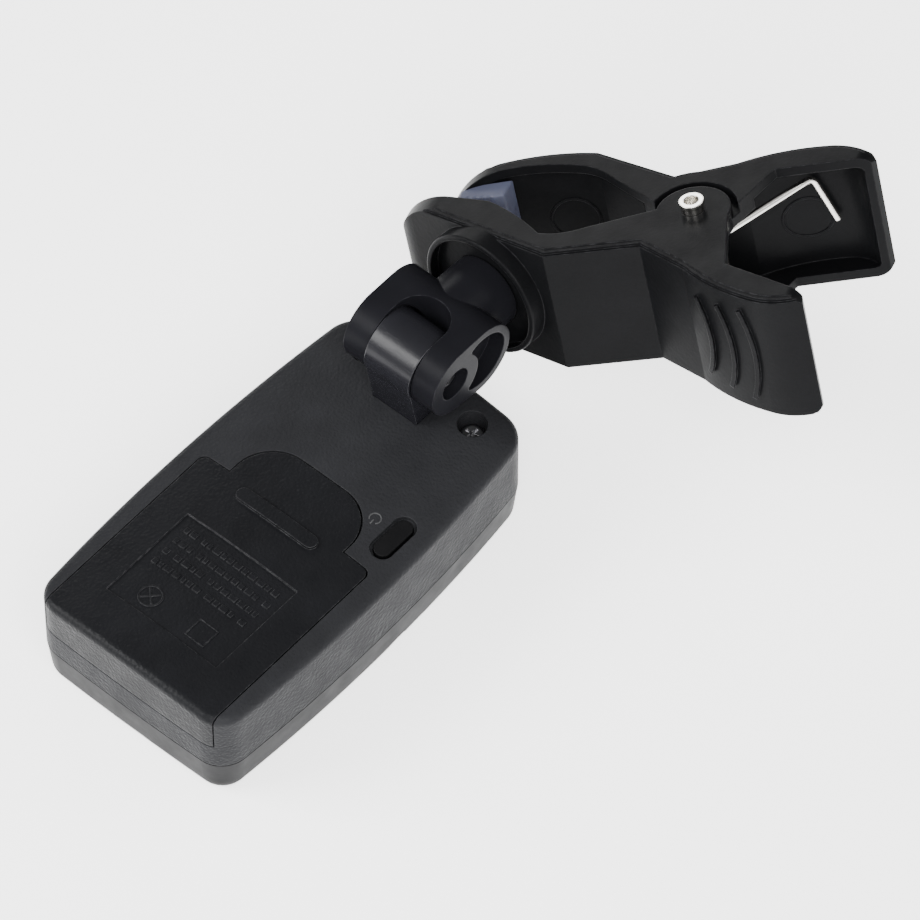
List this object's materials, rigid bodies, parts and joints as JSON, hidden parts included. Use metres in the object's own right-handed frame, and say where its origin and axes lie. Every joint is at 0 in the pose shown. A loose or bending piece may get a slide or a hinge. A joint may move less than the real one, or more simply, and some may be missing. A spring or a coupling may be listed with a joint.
{
  "type": "clip-on tuner",
  "caption": "Clip-on instrument tuner: flat battery-powered head with a sliding battery door, a tilt-and-swivel arm and a sprung clip with padded jaws.",
  "frame": {"origin": "centre of the tuner head's flat front face, on its outline's centre lines, where the head rests when it lies on its screen", "axes": "+Z out of the back of the head, +X along the head from the battery end to the hinge, +Y across it; at rest the arm and clip reach out past +X"},
  "size_m": [0.1188, 0.0696, 0.0507],
  "materials": {
    "front_shell": "satin",
    "back_shell": "spark-textured",
    "battery_door": "spark-textured",
    "display_lens": "clear acrylic",
    "lcd_panel": "reflective",
    "light_guide": "frosted clear",
    "display_connector": "matte",
    "circuit_board": "solder mask",
    "tuner_chip": "resin",
    "tact_switch": "moulded",
    "switch_plunger": "moulded",
    "battery_holder": "moulded",
    "power_button": "soft matte",
    "coin_cell": "nickel plated",
    "negative_contact": "plated",
    "positive_contact": "plated",
    "piezo_disc": "bright",
    "shell_screws": "bright zinc",
    "hinge_lug": "polished",
    "lug_screws": "zinc",
    "lug_plate": "zinc",
    "swivel_arm": "polished",
    "tilt_screw": "bright zinc",
    "tilt_nut": "zinc",
    "lower_jaw": "satin",
    "upper_jaw": "satin",
    "lower_pad": "soft matte",
    "upper_pad": "soft matte",
    "swivel_washer": "zinc",
    "swivel_screw": "bright zinc",
    "clip_pin": "nickel plated",
    "spring_sleeve": "moulded",
    "torsion_spring": "nickel plated wire"
  },
  "bodies": {
    "tuner_head": {"front_shell": "front_shell", "back_shell": "back_shell", "display_lens": "display_lens", "lcd_panel": "lcd_panel", "light_guide": "light_guide", "display_connector": "display_connector", "circuit_board": "circuit_board", "tuner_chip": "tuner_chip", "tact_switch": "tact_switch", "battery_holder": "battery_holder", "coin_cell": "coin_cell", "negative_contact": "negative_contact", "positive_contact": "positive_contact", "piezo_disc": "piezo_disc", "shell_screws": "shell_screws", "hinge_lug": "hinge_lug", "lug_plate": "lug_plate", "lug_screws": "lug_screws"},
    "battery_door": {"battery_door": "battery_door"},
    "power_button": {"power_button": "power_button", "switch_plunger": "switch_plunger"},
    "swivel_arm": {"swivel_arm": "swivel_arm", "tilt_screw": "tilt_screw", "tilt_nut": "tilt_nut", "swivel_screw": "swivel_screw", "swivel_washer": "swivel_washer"},
    "lower_jaw": {"lower_jaw": "lower_jaw", "lower_pad": "lower_pad", "clip_pin": "clip_pin", "spring_sleeve": "spring_sleeve", "torsion_spring": "torsion_spring"},
    "upper_jaw": {"upper_jaw": "upper_jaw", "upper_pad": "upper_pad"}
  },
  "joints": [
    {"name": "tilt", "type": "hinge", "parent": "tuner_head", "child": "swivel_arm", "pos_m": [0.0263, 0, 0.0286], "axis": [0, -1, 0], "range_deg": [-10, 95]},
    {"name": "swivel", "type": "hinge", "parent": "swivel_arm", "child": "lower_jaw", "pos_m": [0.04094, 0, 0.02732], "axis": [0.9962, 0, -0.0872], "continuous": true},
    {"name": "jaw_open", "type": "hinge", "parent": "lower_jaw", "child": "upper_jaw", "pos_m": [0.06188, -0.02341, 0.03259], "axis": [-0.0829, -0.309, -0.9474], "range_deg": [0, 40], "stiffness_Nm_per_rad": 0.3, "springref_deg": -57.3, "deforming": ["torsion_spring"]},
    {"name": "door_slide", "type": "slide", "parent": "tuner_head", "child": "battery_door", "axis": [-1, 0, 0], "range_m": [0, 0.034]},
    {"name": "button_press", "type": "slide", "parent": "tuner_head", "child": "power_button", "axis": [0, 0, -1], "range_m": [0, 0.0004], "stiffness_N_per_m": 500}
  ]
}
